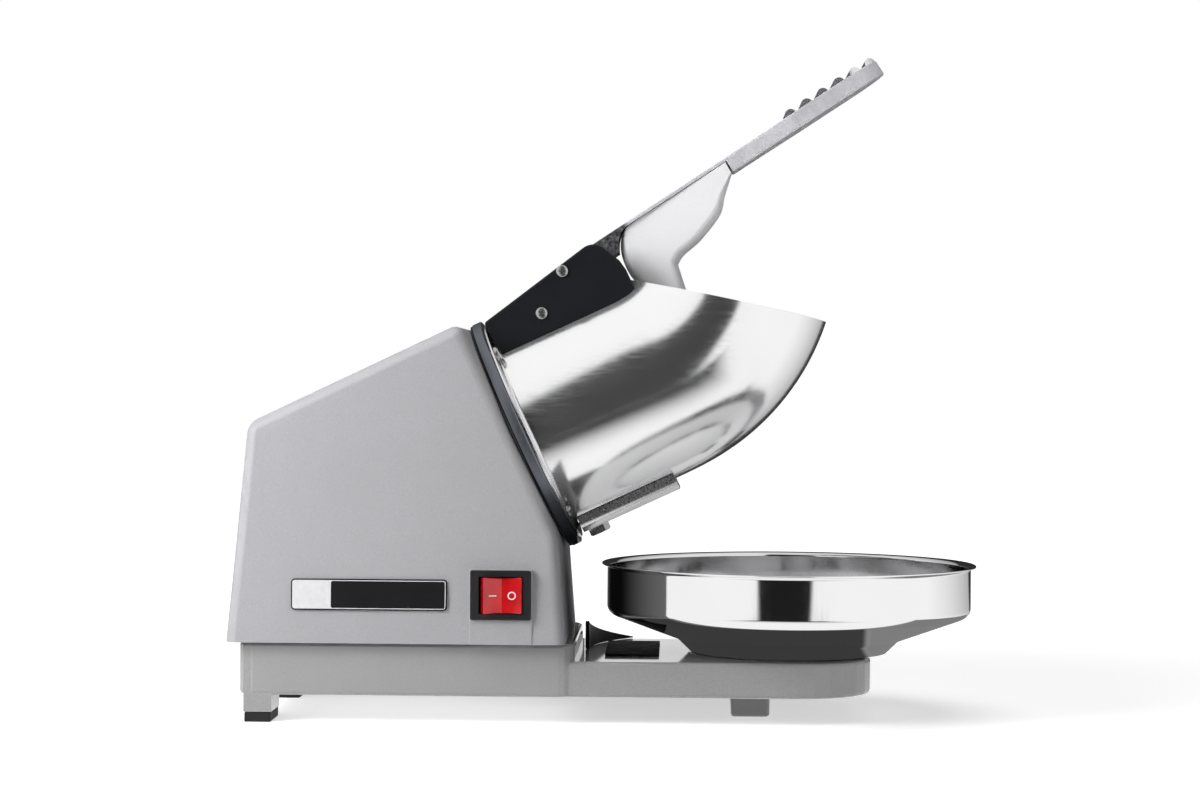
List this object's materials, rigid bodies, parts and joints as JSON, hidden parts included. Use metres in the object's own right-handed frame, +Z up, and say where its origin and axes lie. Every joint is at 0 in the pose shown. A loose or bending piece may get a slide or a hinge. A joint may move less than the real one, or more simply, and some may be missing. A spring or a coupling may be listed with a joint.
{
  "type": "electric ice crusher",
  "caption": "Silver table-top ice crusher: tilted motor head, bent stainless barrel fed from the top, hand lever with a presser, and a round catch bowl.",
  "frame": {"origin": "on the ground, in the middle of the length and the width, with the lever at rest", "axes": "+Z up, +X from the casing's back to the bowl, the rocker switch on the -Y side"},
  "size_m": [0.3909, 0.2, 0.3494],
  "materials": {
    "silver_paint": "satin silver paint",
    "polished_stainless": "polished",
    "bare_aluminium": "satin cast",
    "ring_metal": "satin grey",
    "black_plastic": "matt",
    "black_rubber": "matt",
    "red_plastic": "gloss",
    "nameplate_black": "printed",
    "enamelled_copper": "enamelled",
    "steel_lamination": "stacked",
    "machined_steel": "machined",
    "zinc_fastener": "zinc plated"
  },
  "bodies": {
    "frame": {"base_casting": "silver_paint", "cord_grommet": "black_rubber", "rear_foot_near": "black_rubber", "rear_foot_far": "black_rubber", "bottom_cover": "machined_steel", "cover_screw_1": "zinc_fastener", "cover_screw_2": "zinc_fastener", "casing": "silver_paint", "casing_bolt_1": "zinc_fastener", "casing_bolt_2": "zinc_fastener", "casing_bolt_3": "zinc_fastener", "casing_bolt_4": "zinc_fastener", "nameplate": "nameplate_black", "switch_housing": "black_plastic", "ring_gasket": "black_rubber", "mounting_ring": "ring_metal", "shaft_seal": "black_rubber", "ring_screw_1": "zinc_fastener", "ring_screw_2": "zinc_fastener", "ring_screw_3": "zinc_fastener", "ring_screw_4": "zinc_fastener", "barrel": "polished_stainless", "discharge_spout": "polished_stainless", "spout_bolt": "zinc_fastener", "spout_nut": "zinc_fastener", "motor_mount_plate": "machined_steel", "motor_front_bell": "bare_aluminium", "motor_rear_bell": "bare_aluminium", "front_bearing": "machined_steel", "rear_bearing": "machined_steel", "stator_core": "steel_lamination", "stator_winding": "enamelled_copper", "tie_bolt_1": "zinc_fastener", "tie_bolt_2": "zinc_fastener", "hinge_bracket": "black_plastic", "bracket_lug": "machined_steel", "bracket_screw_near": "zinc_fastener", "bracket_screw_far": "zinc_fastener", "pivot_pin": "machined_steel", "pivot_screw": "zinc_fastener", "platform_pad": "black_rubber", "splash_guard": "black_plastic"},
    "rotor": {"motor_shaft": "machined_steel", "rotor_core": "steel_lamination", "cooling_fan": "black_plastic", "cutter_disc": "polished_stainless", "disc_nut": "zinc_fastener", "blade_1": "machined_steel", "blade_1_screw_1": "zinc_fastener", "blade_1_screw_2": "zinc_fastener", "blade_2": "machined_steel", "blade_2_screw_1": "zinc_fastener", "blade_2_screw_2": "zinc_fastener"},
    "lever": {"lever_arm": "bare_aluminium", "presser": "bare_aluminium", "presser_screw_1": "zinc_fastener", "presser_screw_2": "zinc_fastener"},
    "rocker": {"rocker": "red_plastic"},
    "bowl": {"bowl": "polished_stainless"}
  },
  "joints": [
    {"name": "lever_hinge", "type": "hinge", "parent": "frame", "child": "lever", "pos_m": [-0.02491, 0, 0.234], "axis": [0, 1, 0], "range_deg": [-60, 33]},
    {"name": "rotor_spin", "type": "hinge", "parent": "frame", "child": "rotor", "pos_m": [-0.0481, 0, 0.1465], "axis": [0.9063, 0, 0.4226], "continuous": true},
    {"name": "rocker_tilt", "type": "hinge", "parent": "frame", "child": "rocker", "pos_m": [-0.0535, -0.0717, 0.0669], "axis": [0, 0, -1], "range_deg": [0, 20]},
    {"name": "bowl_pull", "type": "slide", "parent": "frame", "child": "bowl", "axis": [1, 0, 0], "range_m": [0, 0.12]}
  ]
}
